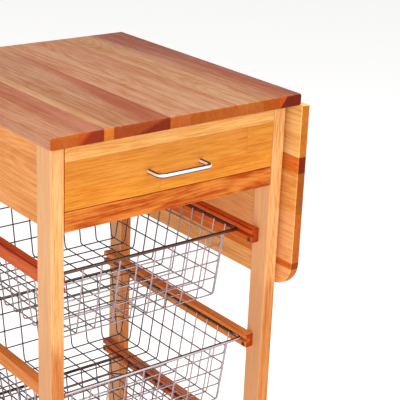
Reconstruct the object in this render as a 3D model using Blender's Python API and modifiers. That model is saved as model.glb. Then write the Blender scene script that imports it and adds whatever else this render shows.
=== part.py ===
"""Butcher block table with one drawer, a drop leaf and three sliding wire baskets.

Every place below is in the table's own coordinates: x is measured from the middle of the top, y from the
top's front edge towards the back, and z from the underside of the top. The empty "table" carries all pieces
and puts the origin on the floor, in the middle of the table's outline.
"""

import math

import bmesh
import bpy

# Driving dimensions, in metres
TOTAL_HEIGHT = 0.914
GAP = 0.0003

TOP_WIDTH = 0.488
TOP_DEPTH = 0.536
TOP_THICK = 0.020
TOP_CORNER = 0.006
TOP_EASE = 0.0035
WOOD_EASE = 0.002
THIN_EASE = 0.001

LEG_WIDTH = 0.024
LEG_DEPTH = 0.041
LEG_SIDE_INSET = 0.014
LEG_FRONT_INSET = 0.024
GLIDE_HEIGHT = 0.004
GLIDE_RADIUS = 0.010
GLIDE_EASE = 0.001

APRON_THICK = 0.016
APRON_BOTTOM = -0.1425
BACK_APRON_THICK = 0.018
RAIL_TOP = -0.1095
RAIL_THICK = 0.018
STRETCHER_BOTTOM = -0.842
STRETCHER_HEIGHT = 0.038

LEAF_THICK = 0.017
LEAF_DROP = 0.340
LEAF_CORNER = 0.050
LEAF_EASE = 0.0025
LEAF_STAND_OFF = 0.0015

DRAWER_SIDE_GAP = 0.001
DRAWER_FRONT_TOP = -0.0015
DRAWER_FRONT_BOTTOM = -0.1085
DRAWER_FRONT_THICK = 0.018
DRAWER_SIDE_FACE = 0.197
DRAWER_SIDE_THICK = 0.013
DRAWER_SIDE_TOP = -0.022
DRAWER_SIDE_BOTTOM = -0.102
DRAWER_LENGTH = 0.420
DRAWER_BACK_THICK = 0.012
DRAWER_FLOOR_THICK = 0.004
DRAWER_FLOOR_Z = -0.097
GUIDE_HEIGHT = 0.012
GUIDE_MIDDLE = -0.062
GUIDE_REACH = 0.190
GUIDE_START = 0.006

HANDLE_SPAN = 0.102
HANDLE_Z = -0.071
HANDLE_OUT = 0.034
HANDLE_ROD = 0.004
HANDLE_BEND = 0.010

RUNNER_THICK = 0.016
RUNNER_HEIGHT = 0.026
RUNNER_FRONT = 0.047
RUNNER_BACK = 0.511
RUNNER_TOPS = {"top": -0.2285, "middle": -0.4325, "bottom": -0.6365}
GROOVE_DROP = 0.0125
GROOVE_HEIGHT = 0.0075
GROOVE_DEPTH = 0.008
RUNNER_SCREW_Y = 0.055
RUNNER_SCREW_DROP = 0.0211

RIM_HALF_WIDTH = 0.1937
RIM_LENGTH = 0.380
RIM_ROD = 0.003
RIM_CORNER = 0.012
RIM_FRONTS = {"top": 0.089, "middle": 0.064, "bottom": 0.064}
BASKET_DEPTH = 0.135
BASKET_WALL = 0.0012
BASKET_CORNER = 0.030
BASKET_FLOOR_BEND = 0.012
BASKET_TOP_INSET = 0.0041
BASKET_SIDE_TAPER = 0.0156
BASKET_END_TAPER = 0.014

HINGE_PLACES = {"front": 0.090, "back": 0.446}
HINGE_LENGTH = 0.040
HINGE_REACH = 0.0218
HINGE_METAL = 0.0015
KNUCKLE = 0.003
PIN = 0.0012
PIN_HEAD_RADIUS = 0.0022
PIN_HEAD_THICK = 0.0012

STAY_PLACES = {"front": 0.160, "back": 0.370}
STAY_APRON_PIVOT = (0.230, -0.079)
STAY_LEAF_PIVOT = (0.238, -0.15075)
STAY_APRON_LINK = 0.0633
STAY_LEAF_LINK = 0.1345
STAY_HALF_WIDTH = 0.005
STAY_METAL = 0.002
BRACKET_HALF_WIDTH = 0.012
BRACKET_HALF_HEIGHT = 0.014
LEAF_BRACKET_SHIFT = 0.006

# Values that follow from the driving dimensions
TOP_SIDE = TOP_WIDTH / 2
LEG_OUTER = TOP_SIDE - LEG_SIDE_INSET
LEG_INNER = LEG_OUTER - LEG_WIDTH
LEG_FRONT = LEG_FRONT_INSET
BACK_LEG_FRONT = TOP_DEPTH - LEG_FRONT_INSET - LEG_DEPTH
BACK_LEG_BACK = BACK_LEG_FRONT + LEG_DEPTH
UNDERSIDE = TOTAL_HEIGHT - TOP_THICK
LEG_BOTTOM = -(UNDERSIDE - GLIDE_HEIGHT - GAP)
LEAF_INNER = TOP_SIDE + LEAF_STAND_OFF
LEAF_OUTER = LEAF_INNER + LEAF_THICK
LEAF_TOP = -LEAF_STAND_OFF
LEAF_AXIS = (TOP_SIDE + LEAF_STAND_OFF / 2, -LEAF_STAND_OFF / 2)
DRAWER_FACE = LEG_FRONT
DRAWER_FRONT_BACK = DRAWER_FACE + DRAWER_FRONT_THICK
DRAWER_END = DRAWER_FRONT_BACK + GAP + DRAWER_LENGTH
DRAWER_SIDE_INNER = DRAWER_SIDE_FACE - DRAWER_SIDE_THICK
OUTLINE_MIDDLE_X = (LEAF_OUTER - TOP_SIDE) / 2
OUTLINE_MIDDLE_Y = (TOP_DEPTH + DRAWER_FACE - HANDLE_OUT) / 2

# How far a cutter goes past the face that it cuts through
PAST = 0.01

for old in list(bpy.data.objects):
    bpy.data.objects.remove(old, do_unlink=True)

parts = bpy.data.collections.new("butcher_block_table")
tools = bpy.data.collections.new("cutters")
bpy.context.scene.collection.children.link(parts)
bpy.context.scene.collection.children.link(tools)

table = bpy.data.objects.new("table", None)
table.location = (-OUTLINE_MIDDLE_X, -OUTLINE_MIDDLE_Y, UNDERSIDE)
parts.objects.link(table)


# ---------------------------------------------------------------- materials

def material(name, colour, roughness, metallic=0.0):
    made = bpy.data.materials.new(name)
    made.use_nodes = True
    shader = made.node_tree.nodes["Principled BSDF"]
    shader.inputs["Base Color"].default_value = (*colour, 1.0)
    shader.inputs["Roughness"].default_value = roughness
    shader.inputs["Metallic"].default_value = metallic
    made.diffuse_color = (*colour, 1.0)
    return made


TOP_WOOD = material("top_wood", (0.60, 0.30, 0.15), 0.40)
FRAME_WOOD = material("frame_wood", (0.72, 0.36, 0.14), 0.42)
DARK_WOOD = material("dark_wood", (0.50, 0.16, 0.05), 0.42)
DRAWER_WOOD = material("drawer_wood", (0.78, 0.35, 0.09), 0.40)
BOX_WOOD = material("drawer_box_wood", (0.70, 0.50, 0.30), 0.60)
CHROME = material("chrome", (0.80, 0.80, 0.80), 0.12, 1.0)
STEEL = material("zinc_steel", (0.60, 0.60, 0.58), 0.30, 1.0)
NYLON = material("glide_nylon", (0.75, 0.73, 0.68), 0.50)


# ---------------------------------------------------------------- ways of making a piece

def axis_empty(name, place, parent=table):
    """An empty on a joint's axis, which carries the pieces that move on it."""
    made = bpy.data.objects.new(name, None)
    parts.objects.link(made)
    made.parent = parent
    origin = carried_place(parent)
    made.location = [place[i] - origin[i] for i in range(3)]
    return made


def carried_place(holder):
    """Where an empty stands in the table's own coordinates."""
    place = [0.0, 0.0, 0.0]
    while holder is not table:
        place = [place[i] + holder.location[i] for i in range(3)]
        holder = holder.parent
    return place


def add(name, mesh, place, look=None, parent=table, collection=parts):
    """One object from a mesh whose middle goes to a place in the table's coordinates."""
    made = bpy.data.objects.new(name, mesh)
    collection.objects.link(made)
    made.parent = parent
    origin = carried_place(parent)
    made.location = [place[i] - origin[i] for i in range(3)]
    if look:
        mesh.materials.append(look)
    return made


def as_mesh(name, bm):
    bmesh.ops.recalc_face_normals(bm, faces=bm.faces)
    mesh = bpy.data.meshes.new(name)
    bm.to_mesh(mesh)
    bm.free()
    return mesh


def block_mesh(name, size):
    bm = bmesh.new()
    bmesh.ops.create_cube(bm, size=1.0)
    bmesh.ops.scale(bm, vec=size, verts=bm.verts)
    return as_mesh(name, bm)


def block(name, low, high, look=None, ease=WOOD_EASE, parent=table, collection=parts):
    """A board between two corners, with its edges eased."""
    size = [high[i] - low[i] for i in range(3)]
    middle = [(high[i] + low[i]) / 2 for i in range(3)]
    made = add(name, block_mesh(name, size), middle, look, parent, collection)
    if ease:
        ease_edges(made, ease)
    return made


def ease_edges(piece, width, segments=2):
    bevel = piece.modifiers.new("ease", "BEVEL")
    bevel.width = width
    bevel.segments = segments
    bevel.limit_method = "ANGLE"
    bevel.angle_limit = math.radians(40)


def cylinder(name, radius, length, place, turn=(0, 0, 0), sides=24, collection=tools):
    """A plain round bar along z, turned to lie where it is needed."""
    bm = bmesh.new()
    bmesh.ops.create_cone(
        bm, cap_ends=True, segments=sides, radius1=radius, radius2=radius, depth=length
    )
    made = add(name, as_mesh(name, bm), place, collection=collection)
    made.rotation_euler = turn
    return made


def turned(name, profile, place, turn, look, parent=table, sides=24, collection=parts):
    """A turned piece: the profile runs down its outer side, from the top of its axis to the bottom."""
    mesh = bpy.data.meshes.new(name)
    bm = bmesh.new()
    points = [bm.verts.new((radius, 0.0, height)) for radius, height in profile]
    for upper, lower in zip(points, points[1:]):
        bm.edges.new((upper, lower))
    bm.to_mesh(mesh)
    bm.free()
    made = add(name, mesh, place, look, parent, collection)
    made.rotation_euler = turn
    screw = made.modifiers.new("turn", "SCREW")
    screw.steps = sides
    screw.render_steps = sides
    screw.use_merge_vertices = True
    screw.merge_threshold = 0.00001
    screw.use_smooth_shade = False
    return made


def join_or_cut(piece, operation, *others):
    """Union with, or cut by, each of the other shapes, which are then only guides."""
    for other in others:
        boolean = piece.modifiers.new(other.name, "BOOLEAN")
        boolean.operation = operation
        boolean.object = other
        boolean.solver = "EXACT"
        other.hide_render = True
        other.display_type = "WIRE"


def mesh_from(curve_object, look):
    """A rod's curve made a mesh, with its end caps welded on, so that it can be cut."""
    evaluated = curve_object.evaluated_get(bpy.context.evaluated_depsgraph_get())
    mesh = bpy.data.meshes.new_from_object(evaluated)
    bm = bmesh.new()
    bm.from_mesh(mesh)
    bmesh.ops.remove_doubles(bm, verts=bm.verts, dist=0.00001)
    bm.to_mesh(mesh)
    bm.free()
    mesh.materials.clear()
    mesh.materials.append(look)
    mesh.shade_smooth()
    return mesh


def corner_arc(middle, radius, start, end, steps):
    """Points round a bend, with both of its ends."""
    arc = []
    for step in range(steps + 1):
        angle = math.radians(start + (end - start) * step / steps)
        arc.append((middle[0] + radius * math.cos(angle), middle[1] + radius * math.sin(angle)))
    return arc


def rod_curve(name, points, radius, closed=False):
    curve = bpy.data.curves.new(name, "CURVE")
    curve.dimensions = "3D"
    curve.bevel_depth = radius
    curve.bevel_resolution = 2
    curve.use_fill_caps = True
    spline = curve.splines.new("POLY")
    spline.points.add(len(points) - 1)
    for point, place in zip(spline.points, points):
        point.co = (*place, 1.0)
    spline.use_cyclic_u = closed
    return curve


# ---------------------------------------------------------------- top and drop leaf

ALONG_Y = (math.radians(90), 0.0, 0.0)
ALONG_MINUS_Y = (math.radians(-90), 0.0, 0.0)


def panel_mesh(name, size, corner, picked):
    """A board whose picked upright edges are rounded, given by a test on the edge's middle."""
    bm = bmesh.new()
    bmesh.ops.create_cube(bm, size=1.0)
    bmesh.ops.scale(bm, vec=size, verts=bm.verts)
    edges = [e for e in bm.edges if picked(e)]
    bmesh.ops.bevel(
        bm, geom=edges, offset=corner, segments=8, profile=0.5, affect="EDGES", material=-1
    )
    return as_mesh(name, bm)


def is_upright(edge):
    return abs(edge.verts[0].co.z - edge.verts[1].co.z) > TOP_THICK / 2


def is_lower_corner(edge):
    a, b = edge.verts
    return abs(a.co.x - b.co.x) > LEAF_THICK / 2 and a.co.z < 0


tabletop = add(
    "tabletop",
    panel_mesh("tabletop", (TOP_WIDTH, TOP_DEPTH, TOP_THICK), TOP_CORNER, is_upright),
    (0.0, TOP_DEPTH / 2, TOP_THICK / 2),
    TOP_WOOD,
)
ease_edges(tabletop, TOP_EASE, segments=3)

leaf_axis = axis_empty("drop_leaf_axis", (LEAF_AXIS[0], TOP_DEPTH / 2, LEAF_AXIS[1]))
drop_leaf = add(
    "drop_leaf",
    panel_mesh("drop_leaf", (LEAF_THICK, TOP_DEPTH, LEAF_DROP), LEAF_CORNER, is_lower_corner),
    ((LEAF_INNER + LEAF_OUTER) / 2, TOP_DEPTH / 2, LEAF_TOP - LEAF_DROP / 2),
    FRAME_WOOD,
    leaf_axis,
)
ease_edges(drop_leaf, LEAF_EASE)


# ---------------------------------------------------------------- leaf hinges

KNUCKLE_GAP = 0.0002
KNUCKLE_ENDS = 0.0125
KNUCKLE_CLEAR = 0.0004
BORE = 0.0013
WOOD_CLEAR = 0.0006
RELIEF_PAST = 0.001


def knuckle(name, radius, start, end, hinge_y):
    """A round bar on the hinge pin's axis, over one stretch of the hinge's length."""
    middle = hinge_y + (start + end) / 2
    return cylinder(name, radius, end - start, (LEAF_AXIS[0], middle, LEAF_AXIS[1]), ALONG_Y)


def leaf_hinge(place, hinge_y):
    """A butt hinge: two plates, three knuckles and a pin with a head at each end."""
    half = HINGE_LENGTH / 2
    inner = half - KNUCKLE_ENDS
    outer_spans = [(-half, -inner - KNUCKLE_GAP), (inner + KNUCKLE_GAP, half)]
    middle_span = (-inner + KNUCKLE_GAP, inner - KNUCKLE_GAP)

    fixed = block(
        f"hinge_{place}_fixed_plate",
        (LEAF_AXIS[0] - HINGE_REACH, hinge_y - half, -GAP - HINGE_METAL),
        (LEAF_AXIS[0], hinge_y + half, -GAP),
        STEEL,
        ease=0,
    )
    moving = block(
        f"hinge_{place}_moving_plate",
        (LEAF_INNER - GAP - HINGE_METAL, hinge_y - half, LEAF_AXIS[1] - HINGE_REACH),
        (LEAF_INNER - GAP, hinge_y + half, LEAF_AXIS[1]),
        STEEL,
        ease=0,
        parent=leaf_axis,
    )
    wide = KNUCKLE + KNUCKLE_CLEAR
    cut = 2 * KNUCKLE_GAP
    join_or_cut(
        fixed,
        "DIFFERENCE",
        knuckle(f"fixed_relief_{place}", wide, -inner - KNUCKLE_GAP, inner + KNUCKLE_GAP, hinge_y),
    )
    join_or_cut(
        moving,
        "DIFFERENCE",
        knuckle(f"moving_relief_{place}_a", wide, -half - cut, -inner + KNUCKLE_GAP, hinge_y),
        knuckle(f"moving_relief_{place}_b", wide, inner - KNUCKLE_GAP, half + cut, hinge_y),
    )
    for number, span in enumerate(outer_spans):
        join_or_cut(fixed, "UNION", knuckle(f"fixed_knuckle_{place}_{number}", KNUCKLE, *span, hinge_y))
    join_or_cut(moving, "UNION", knuckle(f"moving_knuckle_{place}", KNUCKLE, *middle_span, hinge_y))
    bore = knuckle(f"hinge_bore_{place}", BORE, -half - PAST, half + PAST, hinge_y)
    join_or_cut(fixed, "DIFFERENCE", bore)
    join_or_cut(moving, "DIFFERENCE", bore)

    head, rim = PIN_HEAD_RADIUS, half + PIN_HEAD_THICK
    turned(
        f"hinge_{place}_pin",
        [(0, rim), (head, rim), (head, half + GAP), (PIN, half + GAP),
         (PIN, -half - GAP), (head, -half - GAP), (head, -rim), (0, -rim)],
        (LEAF_AXIS[0], hinge_y, LEAF_AXIS[1]),
        ALONG_MINUS_Y,
        STEEL,
    )

    room = rim + RELIEF_PAST
    relief = knuckle(f"wood_relief_{place}", KNUCKLE + WOOD_CLEAR, -room, room, hinge_y)
    join_or_cut(tabletop, "DIFFERENCE", relief)
    join_or_cut(drop_leaf, "DIFFERENCE", relief)


for place, hinge_y in HINGE_PLACES.items():
    leaf_hinge(place, hinge_y)


# ---------------------------------------------------------------- legs and glides

LEG_PLACES = {
    "front_left": (-1, LEG_FRONT),
    "front_right": (1, LEG_FRONT),
    "back_left": (-1, BACK_LEG_FRONT),
    "back_right": (1, BACK_LEG_FRONT),
}
legs = {}
for place, (side, front) in LEG_PLACES.items():
    inner, outer = side * LEG_INNER, side * LEG_OUTER
    legs[place] = block(
        f"leg_{place}",
        (min(inner, outer), front, LEG_BOTTOM),
        (max(inner, outer), front + LEG_DEPTH, -GAP),
        FRAME_WOOD,
    )
    turned(
        f"glide_{place}",
        [(0, GLIDE_HEIGHT), (GLIDE_RADIUS, GLIDE_HEIGHT), (GLIDE_RADIUS, GLIDE_EASE),
         (GLIDE_RADIUS - GLIDE_EASE, 0), (0, 0)],
        ((inner + outer) / 2, front + LEG_DEPTH / 2, -UNDERSIDE),
        (0, 0, 0),
        NYLON,
    )


# ---------------------------------------------------------------- rails, aprons and stretchers

BETWEEN_LEGS = LEG_INNER - GAP
block(
    "front_rail",
    (-BETWEEN_LEGS, LEG_FRONT, APRON_BOTTOM),
    (BETWEEN_LEGS, LEG_FRONT + RAIL_THICK, RAIL_TOP),
    DARK_WOOD,
)
block(
    "apron_back",
    (-BETWEEN_LEGS, BACK_LEG_BACK - BACK_APRON_THICK, APRON_BOTTOM),
    (BETWEEN_LEGS, BACK_LEG_BACK, -GAP),
    FRAME_WOOD,
)
for name, side in (("left", -1), ("right", 1)):
    near, far = side * LEG_INNER, side * (LEG_INNER + APRON_THICK)
    block(
        f"apron_{name}",
        (min(near, far), LEG_FRONT + LEG_DEPTH + GAP, APRON_BOTTOM),
        (max(near, far), BACK_LEG_FRONT - GAP, -GAP),
        FRAME_WOOD,
    )
for name, front in (("front", LEG_FRONT), ("back", BACK_LEG_FRONT)):
    middle = front + LEG_DEPTH / 2
    block(
        f"stretcher_{name}",
        (-BETWEEN_LEGS, middle - RAIL_THICK / 2, STRETCHER_BOTTOM),
        (BETWEEN_LEGS, middle + RAIL_THICK / 2, STRETCHER_BOTTOM + STRETCHER_HEIGHT),
        FRAME_WOOD,
    )


# ---------------------------------------------------------------- drawer

drawer_slide = axis_empty("drawer_slide", (0.0, DRAWER_FACE, HANDLE_Z))
drawer_front = block(
    "drawer_front",
    (-LEG_INNER + DRAWER_SIDE_GAP, DRAWER_FACE, DRAWER_FRONT_BOTTOM),
    (LEG_INNER - DRAWER_SIDE_GAP, DRAWER_FRONT_BACK, DRAWER_FRONT_TOP),
    DRAWER_WOOD,
    parent=drawer_slide,
)

GUIDE_CLEAR = 0.0006
GUIDE_GROOVE_START = 0.004
FLOOR_GROOVE = 0.005
FLOOR_CLEAR = 0.0005
guide_half = GUIDE_HEIGHT / 2
for name, side in (("left", -1), ("right", 1)):
    face, inner = side * DRAWER_SIDE_FACE, side * DRAWER_SIDE_INNER
    drawer_side = block(
        f"drawer_side_{name}",
        (min(face, inner), DRAWER_FRONT_BACK + GAP, DRAWER_SIDE_BOTTOM),
        (max(face, inner), DRAWER_END, DRAWER_SIDE_TOP),
        BOX_WOOD,
        ease=THIN_EASE,
        parent=drawer_slide,
    )
    reach = side * (GUIDE_REACH - GUIDE_CLEAR)
    past = side * (DRAWER_SIDE_FACE + PAST)
    guide_groove = block(
        f"guide_groove_{name}",
        (min(reach, past), DRAWER_FRONT_BACK + GUIDE_GROOVE_START, GUIDE_MIDDLE - guide_half - GUIDE_CLEAR),
        (max(reach, past), DRAWER_END + PAST, GUIDE_MIDDLE + guide_half + GUIDE_CLEAR),
        ease=0,
        collection=tools,
    )
    groove_floor = side * (DRAWER_SIDE_INNER + FLOOR_GROOVE)
    past = side * (DRAWER_SIDE_INNER - PAST)
    floor_groove = block(
        f"floor_groove_{name}",
        (min(groove_floor, past), DRAWER_FRONT_BACK - PAST, DRAWER_FLOOR_Z - GAP),
        (max(groove_floor, past), DRAWER_END + PAST, DRAWER_FLOOR_Z + DRAWER_FLOOR_THICK + GAP),
        ease=0,
        collection=tools,
    )
    join_or_cut(drawer_side, "DIFFERENCE", guide_groove, floor_groove)

    tip, wall = side * GUIDE_REACH, side * BETWEEN_LEGS
    block(
        f"drawer_guide_{name}",
        (min(tip, wall), DRAWER_FRONT_BACK + GUIDE_START, GUIDE_MIDDLE - guide_half),
        (max(tip, wall), BACK_APRON_THICK + BACK_LEG_FRONT, GUIDE_MIDDLE + guide_half),
        BOX_WOOD,
        ease=THIN_EASE,
    )

block(
    "drawer_back",
    (-DRAWER_SIDE_INNER + GAP, DRAWER_END - DRAWER_BACK_THICK, DRAWER_FLOOR_Z + DRAWER_FLOOR_THICK + GAP),
    (DRAWER_SIDE_INNER - GAP, DRAWER_END, DRAWER_SIDE_TOP),
    BOX_WOOD,
    ease=THIN_EASE,
    parent=drawer_slide,
)
floor_half = DRAWER_SIDE_INNER + FLOOR_GROOVE - FLOOR_CLEAR
block(
    "drawer_bottom",
    (-floor_half, DRAWER_FRONT_BACK + GAP, DRAWER_FLOOR_Z),
    (floor_half, DRAWER_END, DRAWER_FLOOR_Z + DRAWER_FLOOR_THICK),
    BOX_WOOD,
    ease=0,
    parent=drawer_slide,
)

# The handle: one rod bent twice, drawn in its own flat plane at the handle's height.
half_span = HANDLE_SPAN / 2
bar = HANDLE_OUT - HANDLE_ROD
bend = HANDLE_BEND
handle_outline = [(-half_span, -GAP)]
handle_outline += corner_arc((-half_span + bend, -bar + bend), bend, 180, 270, 6)
handle_outline += corner_arc((half_span - bend, -bar + bend), bend, 270, 360, 6)
handle_outline += [(half_span, -GAP)]
handle_curve = rod_curve("handle_curve", [(x, y, 0.0) for x, y in handle_outline], HANDLE_ROD)
handle_guide = bpy.data.objects.new("handle_guide", handle_curve)
tools.objects.link(handle_guide)
bpy.context.view_layer.update()
handle = add(
    "drawer_handle",
    mesh_from(handle_guide, CHROME),
    (0.0, DRAWER_FACE, HANDLE_Z),
    parent=drawer_slide,
)
bpy.data.objects.remove(handle_guide, do_unlink=True)

SCREW_SHANK = 0.002
SCREW_CLEAR = 0.0003
SCREW_IN_ROD = 0.007
SCREW_HOLE_PAST = 0.0005
HANDLE_SCREW_HEAD, HANDLE_SCREW_RADIUS = 0.0026, 0.0042
screw_hole = SCREW_SHANK + SCREW_CLEAR
for name, side in (("left", -1), ("right", 1)):
    at = (side * half_span, DRAWER_FACE, HANDLE_Z)
    hole = cylinder(f"handle_hole_{name}", screw_hole, 2 * (SCREW_IN_ROD + SCREW_HOLE_PAST), at, ALONG_Y)
    join_or_cut(handle, "DIFFERENCE", hole)
    through = (at[0], DRAWER_FACE + DRAWER_FRONT_THICK / 2, HANDLE_Z)
    long_hole = cylinder(f"drawer_hole_{name}", screw_hole, DRAWER_FRONT_THICK + 2 * PAST, through, ALONG_Y)
    join_or_cut(drawer_front, "DIFFERENCE", long_hole)
    tip = -(DRAWER_FRONT_THICK + GAP + SCREW_IN_ROD)
    turned(
        f"handle_screw_{name}",
        [(0, HANDLE_SCREW_HEAD), (HANDLE_SCREW_RADIUS * 0.7, HANDLE_SCREW_HEAD),
         (HANDLE_SCREW_RADIUS, HANDLE_SCREW_HEAD * 0.45), (HANDLE_SCREW_RADIUS, 0), (SCREW_SHANK, 0),
         (SCREW_SHANK, tip), (0, tip)],
        (at[0], DRAWER_FRONT_BACK + GAP, HANDLE_Z),
        ALONG_MINUS_Y,
        STEEL,
        parent=drawer_slide,
    )


# ---------------------------------------------------------------- basket runners and their front screws

SCREW_HEAD = 0.0038
SCREW_LENGTH = 0.026
SCREW_SINK = 0.0024
SINK_MOUTH = 0.0005
SINK_PAST = 0.004


def runner(level, top, name, side):
    """A grooved hardwood strip on the inner faces of a front and a back leg."""
    inner, outer = side * (BETWEEN_LEGS - RUNNER_THICK + GAP), side * BETWEEN_LEGS
    strip = block(
        f"runner_{level}_{name}",
        (min(inner, outer), RUNNER_FRONT, top - RUNNER_HEIGHT),
        (max(inner, outer), RUNNER_BACK, top),
        DARK_WOOD,
        ease=THIN_EASE,
    )
    floor, past = inner + side * GROOVE_DEPTH, inner - side * PAST
    groove = block(
        f"groove_{level}_{name}",
        (min(floor, past), RUNNER_FRONT - PAST, top - GROOVE_DROP - GROOVE_HEIGHT / 2),
        (max(floor, past), RUNNER_BACK + PAST, top - GROOVE_DROP + GROOVE_HEIGHT / 2),
        ease=0,
        collection=tools,
    )
    join_or_cut(strip, "DIFFERENCE", groove)

    screw_place = (inner + side * GAP, RUNNER_SCREW_Y, top - RUNNER_SCREW_DROP)
    turn = (0.0, math.radians(-90 * side), 0.0)
    turned(
        f"runner_screw_{level}_{name}",
        [(0, 0), (SCREW_HEAD, 0), (SCREW_SHANK, -SCREW_SINK), (SCREW_SHANK, -SCREW_LENGTH),
         (0, -SCREW_LENGTH)],
        screw_place,
        turn,
        STEEL,
    )
    mouth, shank = SCREW_HEAD + SCREW_CLEAR + SINK_MOUTH, SCREW_SHANK + SCREW_CLEAR
    end = -SCREW_LENGTH - SCREW_CLEAR
    hole = turned(
        f"screw_hole_{level}_{name}",
        [(0, SINK_PAST), (mouth, SINK_PAST), (mouth, 0.0), (shank, -SCREW_SINK), (shank, end), (0, end)],
        screw_place,
        turn,
        None,
        collection=tools,
    )
    join_or_cut(strip, "DIFFERENCE", hole)
    join_or_cut(legs[f"front_{name}"], "DIFFERENCE", hole)


for level, top in RUNNER_TOPS.items():
    runner(level, top, "left", -1)
    runner(level, top, "right", 1)


# ---------------------------------------------------------------- wire baskets

RIM_CLEAR = 0.0004
RIM_DROP = GROOVE_DROP + RIM_CLEAR
BODY_TOP = 0.0015


def rim_outline():
    """A closed rounded rectangle about its own middle."""
    x, y, r = RIM_HALF_WIDTH - RIM_CORNER, RIM_LENGTH / 2 - RIM_CORNER, RIM_CORNER
    points = []
    for corner, start in (((x, y), 0), ((-x, y), 90), ((-x, -y), 180), ((x, -y), 270)):
        points += corner_arc(corner, r, start, start + 90, 5)
    return points


def basket_body_mesh(name):
    """An open-topped tray that narrows downwards, about the middle of its own top edge."""
    half_x = RIM_HALF_WIDTH - BASKET_TOP_INSET
    half_y = RIM_LENGTH / 2 - BASKET_TOP_INSET
    bm = bmesh.new()
    bmesh.ops.create_cube(bm, size=2.0)
    bmesh.ops.scale(bm, vec=(half_x, half_y, BASKET_DEPTH / 2), verts=bm.verts)
    bmesh.ops.translate(bm, vec=(0, 0, -BASKET_DEPTH / 2), verts=bm.verts)
    floor_corners = [v for v in bm.verts if v.co.z < -BASKET_DEPTH / 2]
    narrower = (1 - BASKET_SIDE_TAPER / half_x, 1 - BASKET_END_TAPER / half_y, 1)
    bmesh.ops.scale(bm, vec=narrower, verts=floor_corners)
    corners = [e for e in bm.edges if abs(e.verts[0].co.z - e.verts[1].co.z) > BASKET_DEPTH / 2]
    bmesh.ops.bevel(
        bm, geom=corners, offset=BASKET_CORNER, segments=4, profile=0.5, affect="EDGES", material=-1
    )
    lid = [f for f in bm.faces if f.calc_center_median().z > -0.001]
    bmesh.ops.delete(bm, geom=lid, context="FACES_ONLY")
    floor_edges = [e for e in bm.edges if max(v.co.z for v in e.verts) < -BASKET_DEPTH + 0.001]
    bmesh.ops.bevel(
        bm, geom=floor_edges, offset=BASKET_FLOOR_BEND, segments=3, profile=0.5, affect="EDGES", material=-1
    )
    return as_mesh(name, bm)


for level, top in RUNNER_TOPS.items():
    rim_front = RIM_FRONTS[level]
    rim_z = top - RIM_DROP
    middle = rim_front + RIM_LENGTH / 2
    slide = axis_empty(f"basket_{level}_slide", (0.0, middle, rim_z))
    rim = add(
        f"basket_rim_{level}",
        rod_curve(f"basket_rim_{level}", [(x, y, 0.0) for x, y in rim_outline()], RIM_ROD, closed=True),
        (0.0, middle, rim_z),
        CHROME,
        slide,
    )
    body = add(
        f"basket_body_{level}",
        basket_body_mesh(f"basket_body_{level}"),
        (0.0, middle, rim_z + BODY_TOP),
        CHROME,
        slide,
    )
    wall = body.modifiers.new("wall", "SOLIDIFY")
    wall.thickness = BASKET_WALL
    wall.offset = -1.0
    wall.use_even_offset = True


# ---------------------------------------------------------------- folding stays under the leaf

PLANE_LINK_A = 0.0013
PLANE_LINK_B = 0.0050
EAR_B = 0.0073
STAY_PIN = 0.0020
STAY_HOLE = 0.0021
STAY_HEAD = 0.0034
STAY_EAR_HALF = 0.006
STAY_HEAD_THICK = 0.001
STAY_RIVET_THICK = 0.0014


def elbow_place():
    """The elbow of the folded stay: it lies on a circle round each pivot, and is the upper crossing."""
    (ax, az), (bx, bz) = STAY_APRON_PIVOT, STAY_LEAF_PIVOT
    across, up = bx - ax, bz - az
    apart = math.hypot(across, up)
    along = (STAY_APRON_LINK**2 - STAY_LEAF_LINK**2 + apart**2) / (2 * apart)
    aside = math.sqrt(STAY_APRON_LINK**2 - along**2)
    return (
        ax + along * across / apart - aside * up / apart,
        az + along * up / apart + aside * across / apart,
    )


def link(name, pivot, end, near_y, parent):
    """A flat steel link with round ends, in its own upright plane."""
    length = math.dist(pivot, end)
    bm = bmesh.new()
    bmesh.ops.create_cube(bm, size=1.0)
    bmesh.ops.scale(bm, vec=(length + 2 * STAY_HALF_WIDTH, STAY_METAL, 2 * STAY_HALF_WIDTH), verts=bm.verts)
    ends = [e for e in bm.edges if abs(e.verts[0].co.y - e.verts[1].co.y) > STAY_METAL / 2]
    bmesh.ops.bevel(
        bm, geom=ends, offset=STAY_HALF_WIDTH * 0.999, segments=6, profile=0.5, affect="EDGES", material=-1
    )
    middle = ((pivot[0] + end[0]) / 2, near_y + STAY_METAL / 2, (pivot[1] + end[1]) / 2)
    made = add(name, as_mesh(name, bm), middle, STEEL, parent)
    made.rotation_euler = (0.0, -math.atan2(end[1] - pivot[1], end[0] - pivot[0]), 0.0)
    return made


def upright_pin(name, radius, pivot, start_y, end_y):
    place = (pivot[0], (start_y + end_y) / 2, pivot[1])
    return cylinder(name, radius, end_y - start_y, place, ALONG_Y)


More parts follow.
